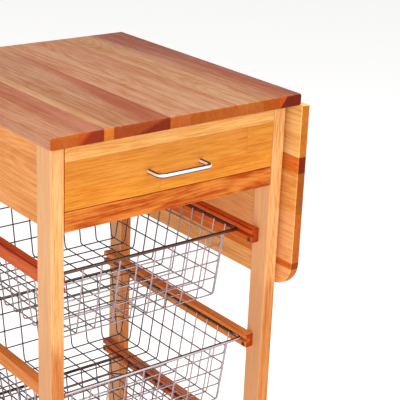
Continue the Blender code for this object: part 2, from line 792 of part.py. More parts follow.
def stay(place, y):
    """Apron bracket, lower link, upper link and leaf bracket of one stay."""
    elbow = elbow_place()
    ax, az = STAY_APRON_PIVOT
    bx, bz = STAY_LEAF_PIVOT
    apron_face = LEG_INNER + APRON_THICK + GAP

    bracket = block(
        f"stay_{place}_apron_bracket",
        (apron_face, y - BRACKET_HALF_WIDTH, az - BRACKET_HALF_HEIGHT),
        (apron_face + STAY_METAL, y + BRACKET_HALF_WIDTH, az + BRACKET_HALF_HEIGHT),
        STEEL,
        ease=0,
    )
    ear = block(
        f"apron_ear_{place}",
        (apron_face + STAY_METAL / 2, y - STAY_METAL / 2, az - STAY_EAR_HALF),
        (ax + STAY_EAR_HALF, y + STAY_METAL / 2, az + STAY_EAR_HALF),
        ease=0,
        collection=tools,
    )
    head_start = y + PLANE_LINK_A + STAY_METAL + GAP
    head_end = head_start + STAY_HEAD_THICK
    pin = upright_pin(f"apron_pin_{place}", STAY_PIN, STAY_APRON_PIVOT, y, head_end - GAP)
    head = upright_pin(f"apron_pin_head_{place}", STAY_HEAD, STAY_APRON_PIVOT, head_start, head_end)
    join_or_cut(bracket, "UNION", ear, pin, head)

    lower_axis = axis_empty(f"stay_{place}_lower_link_axis", (ax, y, az))
    lower = link(f"stay_{place}_lower_link", STAY_APRON_PIVOT, elbow, y + PLANE_LINK_A, lower_axis)
    hole = upright_pin(f"lower_link_hole_{place}", STAY_HOLE, STAY_APRON_PIVOT, y - PAST, y + PAST)
    inside = y + PLANE_LINK_A + STAY_METAL / 2
    rivet = upright_pin(f"lower_link_rivet_{place}", STAY_HEAD, elbow, inside, y + PLANE_LINK_B - GAP)
    join_or_cut(lower, "DIFFERENCE", hole)
    join_or_cut(lower, "UNION", rivet)

    upper_axis = axis_empty(f"stay_{place}_upper_link_axis", (bx, y, bz), leaf_axis)
    upper = link(f"stay_{place}_upper_link", STAY_LEAF_PIVOT, elbow, y + PLANE_LINK_B, upper_axis)
    hole = upright_pin(f"upper_link_hole_{place}", STAY_HOLE, STAY_LEAF_PIVOT, y - PAST, y + 2 * PAST)
    inside = y + PLANE_LINK_B + STAY_METAL / 2
    rivet_end = y + PLANE_LINK_B + STAY_METAL + STAY_RIVET_THICK
    rivet = upright_pin(f"upper_link_rivet_{place}", STAY_HEAD, elbow, inside, rivet_end)
    join_or_cut(upper, "DIFFERENCE", hole)
    join_or_cut(upper, "UNION", rivet)

    leaf_face = LEAF_INNER - GAP
    middle = y + LEAF_BRACKET_SHIFT
    bracket = block(
        f"stay_{place}_leaf_bracket",
        (leaf_face - STAY_METAL, middle - BRACKET_HALF_WIDTH, bz - BRACKET_HALF_HEIGHT),
        (leaf_face, middle + BRACKET_HALF_WIDTH, bz + BRACKET_HALF_HEIGHT),
        STEEL,
        ease=0,
        parent=leaf_axis,
    )
    ear = block(
        f"leaf_ear_{place}",
        (bx - STAY_EAR_HALF, y + EAR_B, bz - STAY_EAR_HALF),
        (leaf_face - STAY_METAL / 2, y + EAR_B + STAY_METAL, bz + STAY_EAR_HALF),
        ease=0,
        collection=tools,
    )
    head_end = y + PLANE_LINK_B - GAP
    head_start = head_end - STAY_HEAD_THICK
    head = upright_pin(f"leaf_pin_head_{place}", STAY_HEAD, STAY_LEAF_PIVOT, head_start, head_end)
    inside = y + EAR_B + STAY_METAL / 2
    pin = upright_pin(f"leaf_pin_{place}", STAY_PIN, STAY_LEAF_PIVOT, head_start + GAP, inside)
    join_or_cut(bracket, "UNION", ear, pin, head)


for place, y in STAY_PLACES.items():
    stay(place, y)
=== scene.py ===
import math

import bmesh
import bpy
from mathutils import Matrix, Vector


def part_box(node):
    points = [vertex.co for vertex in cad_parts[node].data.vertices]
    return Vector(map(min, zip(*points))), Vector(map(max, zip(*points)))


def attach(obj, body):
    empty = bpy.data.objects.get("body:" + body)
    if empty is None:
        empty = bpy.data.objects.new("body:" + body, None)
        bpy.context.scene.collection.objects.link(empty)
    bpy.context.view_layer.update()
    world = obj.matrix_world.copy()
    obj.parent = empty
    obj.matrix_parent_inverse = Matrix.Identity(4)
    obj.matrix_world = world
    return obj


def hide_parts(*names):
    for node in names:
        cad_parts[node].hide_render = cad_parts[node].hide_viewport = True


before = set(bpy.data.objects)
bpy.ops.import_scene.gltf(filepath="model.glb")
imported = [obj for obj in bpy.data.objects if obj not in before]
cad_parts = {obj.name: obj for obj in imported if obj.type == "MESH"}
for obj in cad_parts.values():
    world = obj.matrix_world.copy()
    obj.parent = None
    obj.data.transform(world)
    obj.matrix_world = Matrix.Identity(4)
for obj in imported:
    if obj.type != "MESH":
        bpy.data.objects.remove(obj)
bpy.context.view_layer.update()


# ---------------------------------------------------------------- studio
# A pale floor under soft light, seen from above the table's front left corner. A broad lamp stands on each
# side of the viewer, the left one brighter, a third hangs above, and the surroundings fill the rest.

EYE = Vector((-1.112, -1.693, 1.442))
YAW, PITCH, ROLL = math.radians(38.48), math.radians(20.30), math.radians(2.32)
LENS, SENSOR, FARTHEST = 109.03, 36.0, 60.0
FLOOR_RADIUS, FLOOR_GREY, FLOOR_GLOW = 25.0, 0.80, 0.60
SKY, SKY_STRENGTH = (1.0, 0.985, 0.965, 1.0), 0.38
# Each lamp's name, place, width and watts, and the point that all of them face
LAMPS = (
    ("key_lamp", (-2.1, -2.5, 1.75), 1.2, 38.0),
    ("fill_lamp", (1.1, -2.9, 1.9), 1.4, 17.0),
    ("top_lamp", (0.5, -0.7, 3.1), 1.8, 46.0),
)
LAMP_AIM = Vector((0.0, 0.0, 0.6))

camera_data = bpy.data.cameras.new("camera")
camera_data.lens = LENS
camera_data.sensor_width = SENSOR
camera_data.clip_end = FARTHEST
camera = bpy.data.objects.new("camera", camera_data)
bpy.context.scene.collection.objects.link(camera)
heading = Matrix.Rotation(-YAW, 4, "Z")
tilt = Matrix.Rotation(math.pi / 2 - PITCH, 4, "X")
lean = Matrix.Rotation(ROLL, 4, "Z")
camera.matrix_world = Matrix.Translation(EYE) @ heading @ tilt @ lean
bpy.context.scene.camera = camera
bpy.context.scene.view_settings.view_transform = "Standard"

floor_shape = bmesh.new()
bmesh.ops.create_circle(floor_shape, cap_ends=True, segments=64, radius=FLOOR_RADIUS)
floor_mesh = bpy.data.meshes.new("floor")
floor_shape.to_mesh(floor_mesh)
floor_shape.free()
floor = bpy.data.objects.new("floor", floor_mesh)
bpy.context.scene.collection.objects.link(floor)
floor_paint = bpy.data.materials.new("floor_paint")
floor_paint.use_nodes = True
floor_shader = floor_paint.node_tree.nodes["Principled BSDF"]
floor_shader.inputs["Base Color"].default_value = (FLOOR_GREY, FLOOR_GREY, FLOOR_GREY, 1.0)
floor_shader.inputs["Roughness"].default_value = 0.9
floor_shader.inputs["Specular IOR Level"].default_value = 0.1
floor_shader.inputs["Emission Color"].default_value = (1.0, 1.0, 1.0, 1.0)
floor_shader.inputs["Emission Strength"].default_value = FLOOR_GLOW
floor_mesh.materials.append(floor_paint)

surroundings = bpy.data.worlds.new("surroundings")
surroundings.use_nodes = True
background = surroundings.node_tree.nodes["Background"]
background.inputs["Color"].default_value = SKY
background.inputs["Strength"].default_value = SKY_STRENGTH
bpy.context.scene.world = surroundings

for name, place, width, watts in LAMPS:
    lamp_data = bpy.data.lights.new(name, "AREA")
    lamp_data.shape = "SQUARE"
    lamp_data.size = width
    lamp_data.energy = watts
    lamp = bpy.data.objects.new(name, lamp_data)
    bpy.context.scene.collection.objects.link(lamp)
    lamp.location = place
    lamp.rotation_euler = (LAMP_AIM - Vector(place)).to_track_quat("-Z", "Y").to_euler()


# ---------------------------------------------------------------- tabletop
# A slab of alder staves of mixed colour, glued edge to edge and running from front to back. Its front
# edge shows their end grain, deeper in colour, and all its edges are eased and oiled to a satin finish.

AXES = "xyz"
# Over which distances a glue line and a worn edge with its painted highlight fade out
GLUE_LINE, WORN_AND_LIT_EDGE = (0.00015, 0.0008), (0.0006, 0.0034)
# Over which part of a direction a face begins to count as lying on that side
SIDE_ON = (0.45, 0.65)
# How much of its chip's red, green and blue a face gains or loses, and the least that stays
PALE_FACE, DEEP_FACE, DEEPEST = (0.10, 0.18, 0.34), (0.18, 0.40, 0.64), 0.05
# The palest and deepest wood of an end, as shares of its chip
PALE_END, DEEP_END = (1.12, 1.18, 1.22), (0.74, 0.52, 0.38)
# The colour of a glue line or a worn edge as shares of the wood's own, and how strongly it shows; the
# worn edge's paleness is partly wear and partly a painted highlight
GLUE_TINT, GLUE_SHARE = (0.55, 0.42, 0.34), 0.30
WORN_AND_LIT_TINT, WORN_AND_LIT_SHARE = (1.25, 1.45, 1.5), 0.30
# What a new length of wood adds to a stave's number, and how far one stave's pattern lies from the next
NEW_LENGTH, SLIP = 17.0, 1.37


class Value:
    """A shader socket that can be used in sums, so that a pattern reads as a formula."""

    def __init__(self, tree, socket):
        self.tree = tree
        self.socket = socket

    def node(self, kind, settings, inputs, output=0):
        """One node: its settings first, then the values or links of its sockets."""
        made = self.tree.nodes.new(kind)
        for name, setting in settings.items():
            setattr(made, name, setting)
        for socket, given in inputs.items():
            if isinstance(given, Value):
                self.tree.links.new(given.socket, made.inputs[socket])
            else:
                made.inputs[socket].default_value = given
        return Value(self.tree, made.outputs[output])

    def maths(self, operation, first, second=0.0):
        return self.node("ShaderNodeMath", {"operation": operation}, {0: first, 1: second})

    def __add__(self, other):
        return self.maths("ADD", self, other)

    __radd__ = __add__

    def __sub__(self, other):
        return self.maths("SUBTRACT", self, other)

    def __rsub__(self, other):
        return self.maths("SUBTRACT", other, self)

    def __mul__(self, other):
        return self.maths("MULTIPLY", self, other)

    __rmul__ = __mul__

    def __pow__(self, other):
        return self.maths("POWER", self, other)

    def __gt__(self, other):
        return self.maths("GREATER_THAN", self, other)

    def __lt__(self, other):
        return self.maths("LESS_THAN", self, other)

    def along(self, axis):
        """One of the three parts of a place or a direction."""
        return self.node("ShaderNodeSeparateXYZ", {}, {0: self}, output=axis)

    def size(self):
        return self.maths("ABSOLUTE", self)

    def fraction(self):
        return self.maths("FRACT", self)

    def least(self, other):
        return self.maths("MINIMUM", self, other)

    def most(self, other):
        return self.maths("MAXIMUM", self, other)

    def ramp(self, low, high):
        """0 below low, 1 above high, and an even curve between."""
        return self.node(
            "ShaderNodeMapRange",
            {"interpolation_type": "SMOOTHSTEP"},
            {"Value": self, "From Min": low, "From Max": high},
        )

    def noise(self, along, across, deep, detail=2.0, roughness=0.5):
        """Noise at a place given by three coordinates, each already multiplied to its own scale."""
        place = self.node("ShaderNodeCombineXYZ", {}, {0: along, 1: across, 2: deep})
        inputs = {"Vector": place, "Scale": 1.0, "Detail": detail, "Roughness": roughness}
        return self.node("ShaderNodeTexNoise", {}, inputs)

    def mix(self, first, second):
        """The second colour where this mask is 1, and the first where it is 0."""
        return self.node("ShaderNodeMix", {"data_type": "RGBA"}, {0: self, 6: first, 7: second}, output=2)

    def tinted(self, red, green, blue):
        """A colour with each of its parts made lighter or darker."""
        share = (red, green, blue)
        return self.node("ShaderNodeVectorMath", {"operation": "MULTIPLY"}, {0: self, 1: share})


def tone(red, green, blue):
    """A colour chip of 0 to 255 as the shader's linear colour."""
    def linear(part):
        part /= 255
        return part / 12.92 if part <= 0.04045 else ((part + 0.055) / 1.055) ** 2.4

    return (linear(red), linear(green), linear(blue), 1.0)


def new_material(name):
    """A material, its shader, and the piece's own x, y and z and its facing as values."""
    made = bpy.data.materials.new(name)
    made.use_nodes = True
    tree = made.node_tree
    shader = tree.nodes["Principled BSDF"]
    texture_place = tree.nodes.new("ShaderNodeTexCoord")
    start = Value(tree, texture_place.outputs["Object"])
    facing = Value(tree, texture_place.outputs["Normal"])
    return made, shader, [start.along(axis) for axis in range(3)], facing


def finish_with(material, shader, colour, roughness, height, depth, strength):
    """Joins a pattern's colour, roughness and relief to the shader."""
    bump = height.node("ShaderNodeBump", {}, {"Strength": strength, "Distance": depth, "Height": height})
    material.node_tree.links.new(colour.socket, shader.inputs["Base Color"])
    material.node_tree.links.new(roughness.socket, shader.inputs["Roughness"])
    material.node_tree.links.new(bump.socket, shader.inputs["Normal"])


def stepped(value, joints, settings):
    """A number that jumps to the next of its settings at each joint."""
    made = value * 0.0 + settings[0]
    for joint, before, after in zip(joints, settings, settings[1:]):
        made = made + (value > joint) * (after - before)
    return made


def banded(value, joints, chips):
    """A colour that changes to the next of its chips at each joint."""
    made = (value * 0.0).mix(tone(*chips[0]), tone(*chips[0]))
    for joint, chip in zip(joints, chips[1:]):
        made = (value > joint).mix(made, tone(*chip))
    return made


def timber(name, low, high, along, across, faces, ends, joints=(), butts=(), hearts_and_shade=(), end_hearts=(),
           turns=None, rift=0.0, ring_width=0.0030, figure=1.0, fine=1.0, curl=0.3,
           contrast=1.0, painted_side=None, sheen=0.40, gloss=0.05, log=0.0):
    """Boards glued edge to edge between two corners of a piece.

    Their grain runs along one axis, and they lie side by side across another, with a joint at each of the
    given places. Each stave is a cut from its own log: rings round a heart that lies outside the board, so
    that its face shows flames and streaks, and its end shows arcs. A butt is a place along one stave where
    another length of wood goes on. Hearts_and_shade are darker patches up to a stave's far joint, beyond a
    line that runs from one side position to another over the length or, for an end, over the thickness:
    darker heartwood, and on the runners' tops painted shade. Turns says where along the length the colour
    starts to change to another colour, and where the change is complete.
    Rift is how far to the side of a stave its heart lies: the further it is, the straighter the streaks.
    Figure, fine and curl say how strongly the broad figure, the fibres and the curled grain show.
    Contrast is how far the palest and deepest wood of the face lie apart. Painted_side names a side whose
    colour turns towards another as painted light, by its axis, its way along it, how far its colour has
    turned, and to which colour.
    """
    material, shader, place, facing = new_material(name)
    run, side = AXES.index(along), AXES.index(across)
    thick = 3 - run - side
    length, width, depth = place[run], place[side], place[thick]
    edges = [low[side], *joints, high[side]]
    middles = [(a + b) / 2 for a, b in zip(edges, edges[1:])]

    # The stave that a point lies in, and that log's own random numbers
    number = stepped(width, joints, list(range(len(middles))))
    line = number * 0.0
    for joint in joints:
        line = (1.0 - (width - joint).size().ramp(*GLUE_LINE)).most(line)
    for stave, butt in butts:
        within = (width > edges[stave]) * (width < edges[stave + 1])
        number = number + within * (length > butt) * NEW_LENGTH
        line = ((1.0 - (length - butt).size().ramp(*GLUE_LINE)) * within).most(line)
    chance = number.node("ShaderNodeTexWhiteNoise", {"noise_dimensions": "1D"}, {"W": number + log}, 1)
    luck = [chance.node("ShaderNodeSeparateColor", {}, {0: chance}, output=part) for part in range(3)]
    slip = number * SLIP + log

    # Rings round the heart, which wanders along the log
    from_middle = width - stepped(width, joints, middles)
    wander = length.noise(length * 1.6, slip, 0.5, detail=1.0) - 0.5
    sway = length.noise(length * 2.3, slip, 7.5, detail=1.0) - 0.5
    ripple = length.noise(length * 7.0 + slip, width * 30.0, depth * 30.0, detail=3.0) - 0.5
    heart_side = from_middle + rift + (luck[0] - 0.5) * 0.09 + wander * 0.05
    heart_deep = depth - (low[thick] + high[thick]) / 2 + 0.035 + luck[1] * 0.05 + sway * 0.06
    from_heart = heart_side.maths("SQRT", heart_side * heart_side + heart_deep * heart_deep)
    rings = (from_heart * (1 / ring_width) + ripple * 1.4).fraction()
    late = (1.0 - (rings - 0.62).size() * 2.0).most(0.0) ** 1.6

    # Clouds of colour, fine fibres, streaks, curls and open pores, all drawn out along the grain
    patch = length.noise(length * 4.0 + slip, width * 15.0, depth * 15.0, detail=2.0)
    fibre = length.noise(length * 24.0 + slip, width * 700.0, depth * 700.0, detail=3.0, roughness=0.6)
    streak = length.noise(length * 6.0 + slip, width * 170.0, depth * 170.0, detail=2.0)
    swirl = length.noise(length * 13.0 + slip, width * 45.0, depth * 45.0, detail=3.0, roughness=0.6)
    pores = length.noise(length * 90.0 + slip, width * 1500.0, depth * 1500.0, detail=0.0).ramp(0.66, 0.76)

    # The long faces: pale or deep wood after the figure, over each stave's own colour
    face = banded(width, joints, faces)
    share = (length - low[run]) * (1 / (high[run] - low[run]))
    for stave, near, far, soft, chip in hearts_and_shade:
        border = share * (far - near) + near
        past = (width - border + ripple * 0.012).ramp(-soft, soft)
        within = (width > edges[stave]) * (width < edges[stave + 1])
        face = (past * within).mix(face, tone(*chip))
    if turns:
        face = (length + ripple * 0.10).ramp(turns[0], turns[1]).mix(face, tone(*turns[2]))
    depth_of_tone = 0.40 + (patch - 0.5) * (1.3 * figure) + (streak - 0.5) * (1.9 * figure)
    depth_of_tone = depth_of_tone + (fibre - 0.5) * (1.2 * fine) + (late - 0.35) * (0.34 * figure)
    depth_of_tone = depth_of_tone + pores * 0.15 + (swirl - 0.5) * curl
    pale = [1.0 + contrast * part for part in PALE_FACE]
    deep = [max(DEEPEST, 1.0 - contrast * part) for part in DEEP_FACE]
    face = depth_of_tone.mix(face.tinted(*pale), face.tinted(*deep))

    # The ends: arcs of the rings, and a scatter of open pores
    end = banded(width, joints, ends)
    rise = (depth - low[thick]) * (1 / (high[thick] - low[thick]))
    for stave, near, far, soft, chip in end_hearts:
        border = rise * (far - near) + near
        past = (width - border + ripple * 0.004).ramp(-soft, soft)
        within = (width > edges[stave]) * (width < edges[stave + 1])
        end = (past * within).mix(end, tone(*chip))
    dots = length.noise(length * 60.0, width * 1100.0, depth * 1100.0, detail=1.0).ramp(0.50, 0.70)
    end_depth = 0.32 + (patch - 0.5) * 0.9 + late * 0.40 + dots * 0.22 + (streak - 0.5) * 0.9
    end = end_depth.mix(end.tinted(*PALE_END), end.tinted(*DEEP_END))
    end_on = facing.along(run).size().ramp(*SIDE_ON)
    colour = end_on.mix(face, end)
    colour = (line * GLUE_SHARE).mix(colour, colour.tinted(*GLUE_TINT))
    # Painted light: one side of the piece turns towards another colour
    if painted_side:
        axis, way, amount, chip = painted_side
        outward = (facing.along(AXES.index(axis)) * way).ramp(*SIDE_ON)
        colour = (outward * amount).mix(colour, tone(*chip))

    # Wear and painted highlight: the eased edges are paler, partly worn and partly as a painted highlight,
    # and a little duller
    insets = []
    for axis in range(3):
        centre, half = (low[axis] + high[axis]) / 2, (high[axis] - low[axis]) / 2
        insets.append(half - (place[axis] - centre).size())
    from_edge = insets[0].least(insets[1]).most(insets[0].most(insets[1]).least(insets[2]))
    wear_and_highlight = (1.0 - from_edge.ramp(*WORN_AND_LIT_EDGE)) * (0.35 + 0.9 * patch)
    colour = (wear_and_highlight * WORN_AND_LIT_SHARE).mix(colour, colour.tinted(*WORN_AND_LIT_TINT))

    roughness = sheen + (fibre - 0.5) * 0.22 + (patch - 0.5) * 0.16 + wear_and_highlight * 0.08 + pores * 0.14
    height = fibre * 0.45 + late * 0.30 - pores * 0.80 - line
    finish_with(material, shader, colour, roughness, height, depth=0.0006, strength=0.16)
    coat = (1.0 - end_on) * gloss
    material.node_tree.links.new(coat.socket, shader.inputs["Coat Weight"])
    shader.inputs["Specular IOR Level"].default_value = 0.06
    shader.inputs["Coat Roughness"].default_value = 0.25
    return material


def dress(node, material):
    """Gives a CAD piece its finish."""
    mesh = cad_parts[node].data
    mesh.materials.clear()
    mesh.materials.append(material)


top_low, top_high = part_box("tabletop")
# Where each joint lies, from the right edge in millimetres, and the staves from left to right
TOP_JOINTS = (440, 396, 378, 274, 234, 141, 85, 51)
# The staves' colours hold painted sheen: the greyish haze of the bright surroundings on the oiled top is
# baked into them
TOP_FACES_AND_SHEEN = (
    (194, 130, 90), (184, 110, 74), (202, 146, 98), (188, 132, 94), (198, 138, 98),
    (198, 142, 101), (196, 143, 99), (186, 130, 92), (174, 102, 64),
)
TOP_ENDS = (
    (180, 90, 32), (184, 76, 22), (207, 122, 42), (157, 70, 27), (179, 92, 38),
    (168, 86, 28), (175, 95, 38), (172, 81, 18), (185, 80, 14),
)


def from_right(step):
    return top_high.x - step / 1000


dress("tabletop", timber(
    "top_staves", top_low, top_high, "y", "x", TOP_FACES_AND_SHEEN, TOP_ENDS,
    joints=[from_right(step) for step in TOP_JOINTS],
    hearts_and_shade=(
        (3, from_right(326), from_right(268), 0.012, (172, 92, 54)),
        (8, from_right(20), from_right(52), 0.010, (156, 84, 58)),
        (7, from_right(40), from_right(78), 0.010, (160, 96, 74)),
        (5, from_right(150), from_right(200), 0.014, (190, 126, 84)),
    ),
    end_hearts=(
        (8, from_right(50), from_right(34), 0.0012, (112, 32, 16)),
        (3, from_right(340), from_right(284), 0.012, (126, 42, 20)),
        (1, from_right(440), from_right(420), 0.008, (138, 46, 22)),
    ),
    figure=0.8, fine=1.8, curl=0.4, contrast=1.25, sheen=0.36, gloss=0.30, log=3.0,
))


# ---------------------------------------------------------------- drop leaf
# Wide pale staves and two dark ones of the same alder, glued to a leaf a little thinner than the top. It
# hangs on two hinges, has round lower corners, and its staves run from front to back.

leaf_low, leaf_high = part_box("drop_leaf")
LEAF_JOINTS = (300, 288, 196, 121, 92)
LEAF_FACES = (
    (248, 184, 112), (224, 124, 45), (248, 183, 114), (249, 181, 100), (228, 126, 48), (255, 204, 124),
)
LEAF_ENDS = (
    (196, 112, 44), (150, 64, 20), (186, 96, 30), (164, 90, 28), (116, 35, 12), (190, 113, 36),
)
# The leaf's outer side is painted browner, in tones like the tabletop's, as painted sheen
dress("drop_leaf", timber(
    "leaf_staves", leaf_low, leaf_high, "y", "z", LEAF_FACES, LEAF_ENDS,
    joints=[leaf_high.z - step / 1000 for step in LEAF_JOINTS],
    figure=0.8, fine=1.4, painted_side=("x", 1.0, 0.6, (196, 136, 94)), sheen=0.42, log=41.0,
))


# ---------------------------------------------------------------- legs
# Four straight sticks of pale alder, planed square with eased edges, one length of wood each. The grain
# runs up each leg, which turns darker towards its foot. Their left sides are painted paler as painted
# light.

LEG_FACE, LEG_FOOT, LEG_END = (230, 169, 105), (202, 126, 64), (190, 110, 50)
# The paler colour of each leg's left side, painted light for the light that falls on that side
LEG_LEFT_PAINTED_LIGHT = (242, 184, 134)
for number, corner in enumerate(("front_left", "front_right", "back_left", "back_right")):
    node = f"leg_{corner}"
    low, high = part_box(node)
    dress(node, timber(
        f"{node}_wood", low, high, "z", "x", [LEG_FACE], [LEG_END], turns=(0.60, 0.53, LEG_FOOT),
        figure=0.6, fine=1.8, contrast=1.4, painted_side=("x", -1.0, 0.65, LEG_LEFT_PAINTED_LIGHT), sheen=0.42,
        log=60.0 + 7.0 * number,
    ))


# ---------------------------------------------------------------- rails, aprons and stretchers
# The rail under the drawer is one length of redder wood. Aprons at both sides and at the back carry the
# top, and a stretcher joins the legs near the floor at the front and at the back.

# Each piece's name, grain, face and end, and how strong its figure, curl and contrast are
CROSS_PIECES = (
    ("front_rail", "x", (201, 111, 37), (170, 70, 25), 1.2, 3.4, 1.7),
    ("apron_back", "x", (236, 156, 80), (190, 100, 40), 0.9, 0.4, 1.0),
    ("apron_left", "y", (238, 160, 88), (190, 100, 40), 0.9, 0.4, 1.0),
    ("apron_right", "y", (236, 156, 82), (190, 100, 40), 0.9, 0.4, 1.0),
    ("stretcher_front", "x", (234, 158, 86), (190, 100, 40), 0.8, 0.4, 1.0),
    ("stretcher_back", "x", (232, 154, 82), (190, 100, 40), 0.8, 0.4, 1.0),
)
for number, (node, along, face, end, figure, curl, contrast) in enumerate(CROSS_PIECES):
    low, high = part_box(node)
    dress(node, timber(
        f"{node}_wood", low, high, along, "z", [face], [end],
        figure=figure, fine=1.3, curl=curl, contrast=contrast, sheen=0.42, log=90.0 + 5.0 * number,
    ))


# ---------------------------------------------------------------- drawer
# The front is glued up from three strips of golden alder, two of them butt-jointed along their length.
# Behind it is a plain box of raw pale wood with a plywood bottom, which runs on two guides.

front_low, front_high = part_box("drawer_front")
FRONT_FACES = ((217, 137, 45), (213, 136, 50), (229, 169, 95))
FRONT_ENDS = ((205, 115, 45), (200, 108, 40), (210, 125, 55))
LOWEST_STRIP, HIGHEST_STRIP = 0.034, 0.028
# The strip with a butt joint, counted from below, and where along x its second length begins
FRONT_BUTTS = ((0, -0.038), (1, 0.139))
dress("drawer_front", timber(
    "drawer_front_wood", front_low, front_high, "x", "z", FRONT_FACES, FRONT_ENDS,
    joints=(front_low.z + LOWEST_STRIP, front_high.z - HIGHEST_STRIP), butts=FRONT_BUTTS,
    rift=0.06, ring_width=0.0050, figure=0.55, fine=2.0, curl=1.1, sheen=0.36, log=130.0,
))

RAW_WOOD, RAW_END = (226, 186, 136), (196, 150, 100)
BOX_BOARDS = {
    "drawer_side_left": ("y", "z"), "drawer_side_right": ("y", "z"), "drawer_back": ("x", "z"),
    "drawer_bottom": ("y", "x"), "drawer_guide_left": ("y", "z"), "drawer_guide_right": ("y", "z"),
}
for number, (node, (along, across)) in enumerate(BOX_BOARDS.items()):
    low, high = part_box(node)
    dress(node, timber(
        f"{node}_wood", low, high, along, across, [RAW_WOOD], [RAW_END],
        figure=0.6, sheen=0.62, log=150.0 + 3.0 * number,
    ))


# ---------------------------------------------------------------- drawer handle
# One bright steel rod bent twice, cut square and held by two screws from inside the drawer. It has the
# satin chrome finish of kitchen hardware.

# How many degrees one step of a bend turns, how near two points are one, and which edges stay sharp
BEND_STEP, SAME_POINT, SHARP = 15, 0.00001, math.radians(52)


def metal(name, chip, roughness, marks=0.0, lacquer=0.0, painted_highlight=None, reflection_fade=None):
    """Plated or plain metal with faint wipe marks and, where asked, darker marks of handling.

    A painted_highlight is a paler colour painted along the flanks of a rod as a painted highlight, less
    metallic so that it lights up, between a darker upper and lower side. Reflection_fade says from where to
    where along y the painted highlight dies away, as painted reflection of the dark wood behind.
    """
    material, shader, place, facing = new_material(name)
    wipe = place[0].noise(place[0] * 70.0, place[1] * 70.0, place[2] * 260.0, detail=3.0)
    cloud = place[0].noise(place[0] * 30.0, place[1] * 30.0, place[2] * 30.0, detail=2.0)
    colour = (cloud.ramp(0.35, 0.70) * marks).mix(tone(*chip), tone(*[part * 0.45 for part in chip]))
    # Painted highlight along the flanks, and its fading towards the back as painted reflection
    if painted_highlight:
        rise = facing.along(2)
        highlight_band = rise.ramp(-0.40, 0.05) * (1.0 - rise.ramp(0.60, 0.86))
        if reflection_fade:
            highlight_band = highlight_band * (1.0 - place[1].ramp(*reflection_fade))
        colour = highlight_band.mix(colour, tone(*painted_highlight))
        highlight_metallic = 1.0 - highlight_band * 0.75
        material.node_tree.links.new(highlight_metallic.socket, shader.inputs["Metallic"])
    spread = roughness + (wipe - 0.5) * 0.10 + cloud * 0.04
    finish_with(material, shader, colour, spread, wipe, depth=0.0002, strength=0.05)
    shader.inputs["Metallic"].default_value = 1.0
    shader.inputs["Coat Weight"].default_value = lacquer
    shader.inputs["Coat Roughness"].default_value = 0.12
    return material


def pushed(shape, loop, move):
    """Carries a loop of edges on in a straight line and gives the new loop."""
    made = bmesh.ops.extrude_edge_only(shape, edges=loop)["geom"]
    corners = [part for part in made if isinstance(part, bmesh.types.BMVert)]
    bmesh.ops.translate(shape, verts=corners, vec=move)
    fresh = set(corners)
    return [part for part in made if isinstance(part, bmesh.types.BMEdge) and set(part.verts) <= fresh]


def bent_rod(shape, corners, rod, bend, closed=False, sides=8):
    """A round rod run straight from corner to corner and bent round each of them."""
    points = [Vector(corner) for corner in corners]
    if closed:
        seam = (points[-1] + points[0]) / 2
        points = [seam, *points, seam]
    heading = (points[1] - points[0]).normalized()
    turned = heading.to_track_quat("Z", "Y").to_matrix().to_4x4()
    disc = bmesh.ops.create_circle(
        shape, cap_ends=False, segments=sides, radius=rod, matrix=Matrix.Translation(points[0]) @ turned
    )
    loop = list({edge for corner in disc["verts"] for edge in corner.link_edges})
    ends = [list(loop)]
    here = points[0]
    for corner, beyond in zip(points[1:], points[2:]):
        onward = (beyond - corner).normalized()
        angle = heading.angle(onward)
        setback = bend * math.tan(angle / 2)
        start = corner - heading * setback
        loop = pushed(shape, loop, start - here)
        axis = heading.cross(onward).normalized()
        made = bmesh.ops.spin(
            shape, geom=loop, cent=start + axis.cross(heading) * bend, axis=axis, dvec=(0, 0, 0),
            angle=angle, steps=max(2, round(math.degrees(angle) / BEND_STEP)),
            use_merge=False, use_duplicate=False,
        )
        loop = [part for part in made["geom_last"] if isinstance(part, bmesh.types.BMEdge)]
        here = corner + onward * setback
        heading = onward
    loop = pushed(shape, loop, points[-1] - here)
    ends.append(loop)
    if not closed:
        for end in ends:
            bmesh.ops.contextual_create(shape, geom=end)


def finished(name, shape, material, body, replaces=()):
    """Closes a shape, shades it smooth and hangs it on its body."""
    bmesh.ops.remove_doubles(shape, verts=shape.verts, dist=SAME_POINT)
    bmesh.ops.recalc_face_normals(shape, faces=shape.faces)
    mesh = bpy.data.meshes.new(name)
    shape.to_mesh(mesh)
    shape.free()
    mesh.materials.append(material)
    mesh.shade_smooth()
    mesh.set_sharp_from_angle(angle=SHARP)
    made = bpy.data.objects.new(name, mesh)
    bpy.context.scene.collection.objects.link(made)
    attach(made, body)
    if replaces:
        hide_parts(*replaces)
    return made


# Dark purple-grey painted reflection on the rod's upper and lower sides, with a white painted highlight
# along its flanks
HANDLE_STEEL = metal("handle_steel", (96, 84, 104), 0.22, painted_highlight=(246, 244, 252))
HANDLE_BEND = 0.010
handle_low, handle_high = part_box("drawer_handle")
handle_rod = (handle_high.z - handle_low.z) / 2
handle_z = (handle_low.z + handle_high.z) / 2
post_left, post_right = handle_low.x + handle_rod, handle_high.x - handle_rod
bar_y = handle_low.y + handle_rod
handle = bmesh.new()
bent_rod(handle, [
    (post_left, handle_high.y, handle_z), (post_left, bar_y, handle_z),
    (post_right, bar_y, handle_z), (post_right, handle_high.y, handle_z),
], handle_rod, HANDLE_BEND, sides=20)
finished("handle_rod", handle, HANDLE_STEEL, "drawer", ["drawer_handle"])

SCREW_STEEL = metal("screw_steel", (190, 188, 180), 0.34, marks=0.4)
for side in ("left", "right"):
    dress(f"handle_screw_{side}", SCREW_STEEL)


# ---------------------------------------------------------------- basket runners
# Six strips of dark reddish hardwood on the inner faces of the legs, each with a groove along its middle
# in which a basket's rim slides. A screw near each end holds a strip to its legs. Their top faces carry
# painted shade.

